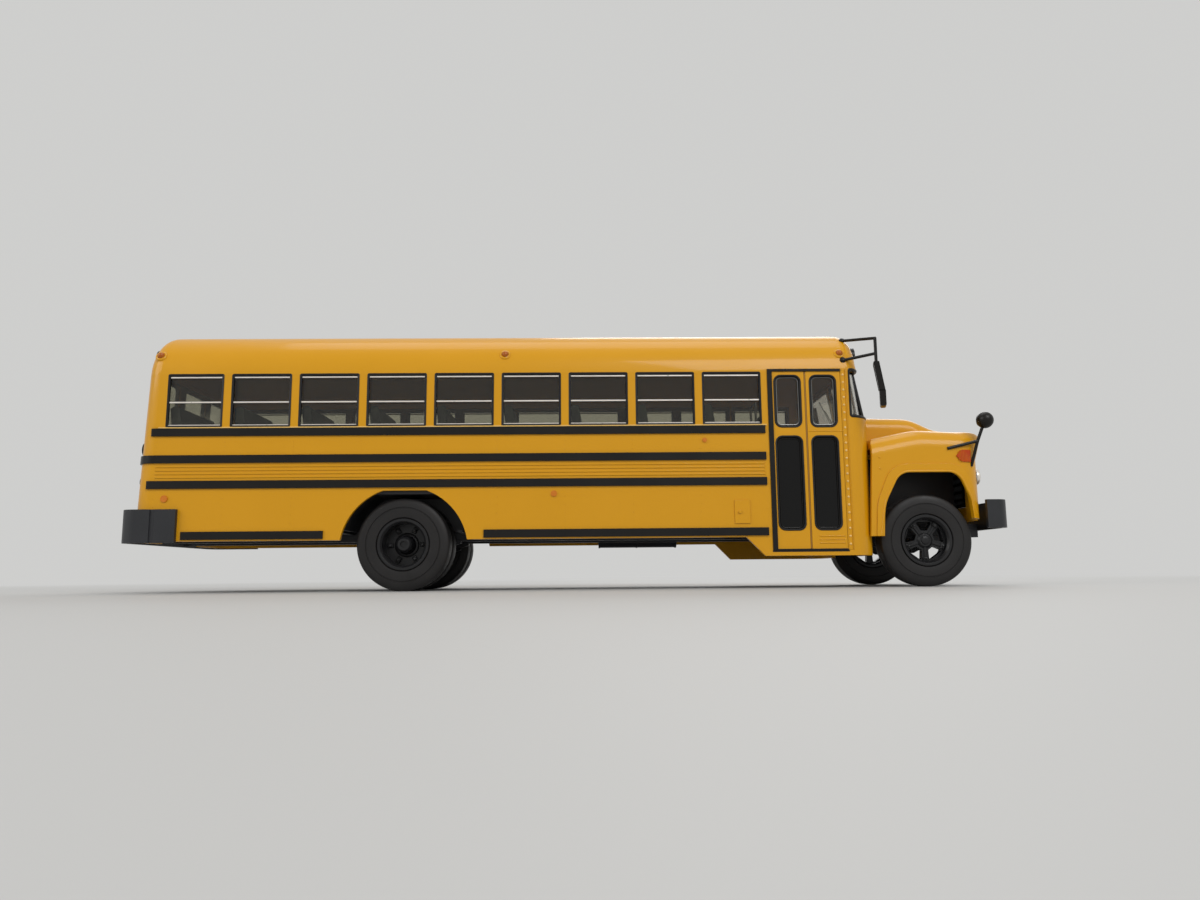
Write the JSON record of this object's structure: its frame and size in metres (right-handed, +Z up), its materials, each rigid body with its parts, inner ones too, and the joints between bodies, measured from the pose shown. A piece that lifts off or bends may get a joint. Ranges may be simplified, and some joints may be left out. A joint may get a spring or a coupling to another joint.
{
  "type": "scale model school bus",
  "caption": "1:43 model of a bonneted school bus: hollow cabin with glazing and benches, wheels that roll on two axles.",
  "frame": {"origin": "on the ground, under the middle of the overall length and width", "axes": "+X forward, +Y to the driver's side, +Z up"},
  "size_m": [0.236, 0.0702, 0.0733],
  "materials": {
    "yellow_paint": "glossy school-bus yellow paint on a die-cast shell",
    "black_trim": "black paint on rails, mirrors and grille",
    "black_plastic": "moulded black plastic, satin",
    "wheel_black": "moulded black wheels, semi-gloss",
    "tyre": "soft black vinyl tyres",
    "tinted_clear": "clear plastic glazing, faintly smoked",
    "dark_interior": "moulded dark green-black interior",
    "clear_lens": "clear lamp lenses",
    "amber_lens": "amber lamp paint",
    "red_lens": "red lamp paint",
    "red_paint": "bare red stop paddle",
    "axle_steel": "steel axle pins"
  },
  "bodies": {
    "root": {"body_shell": "yellow_paint", "hood_and_fenders": "yellow_paint", "entrance_door": "yellow_paint", "emergency_door": "yellow_paint", "fuel_door": "yellow_paint", "door_glass": "tinted_clear", "door_glass_lower": "tinted_clear", "side_glass_right": "tinted_clear", "side_glass_left": "tinted_clear", "windshield": "tinted_clear", "rear_glass": "tinted_clear", "door_seal": "black_trim", "rub_rails_right": "black_trim", "rub_rails_left": "black_trim", "grille": "black_trim", "lamp_visors": "black_trim", "mirror_right": "black_trim", "mirror_left": "black_trim", "fender_mirror_right": "black_trim", "fender_mirror_left": "black_trim", "front_bumper": "black_plastic", "rear_bumper": "black_plastic", "base_plate": "black_plastic", "engine_block": "black_plastic", "radiator": "black_plastic", "exhaust": "black_plastic", "interior_floor": "dark_interior", "entry_steps": "dark_interior", "dashboard": "dark_interior", "steering_wheel": "dark_interior", "driver_seat": "dark_interior", "seats_right": "dark_interior", "seats_left": "dark_interior", "headlamps": "clear_lens", "front_turn_signals": "amber_lens", "warning_lamps_red": "red_lens", "warning_lamps_amber": "amber_lens", "clearance_lamps_red": "red_lens", "clearance_lamps_amber": "amber_lens", "tail_lamps": "red_lens", "side_markers": "amber_lens", "stop_arm": "red_paint"},
    "front_wheels": {"front_axle": "axle_steel", "front_wheel_right": "wheel_black", "front_wheel_left": "wheel_black", "front_tyre_right": "tyre", "front_tyre_left": "tyre"},
    "rear_wheels": {"rear_axle": "axle_steel", "rear_wheel_right": "wheel_black", "rear_wheel_left": "wheel_black", "rear_tyre_outer_right": "tyre", "rear_tyre_inner_right": "tyre", "rear_tyre_outer_left": "tyre", "rear_tyre_inner_left": "tyre"}
  },
  "joints": [
    {"name": "front_axle_spin", "type": "hinge", "parent": "root", "child": "front_wheels", "pos_m": [0.0955, 0, 0.0123], "axis": [0, 1, 0], "continuous": true},
    {"name": "rear_axle_spin", "type": "hinge", "parent": "root", "child": "rear_wheels", "pos_m": [-0.0445, 0, 0.0123], "axis": [0, 1, 0], "continuous": true}
  ]
}
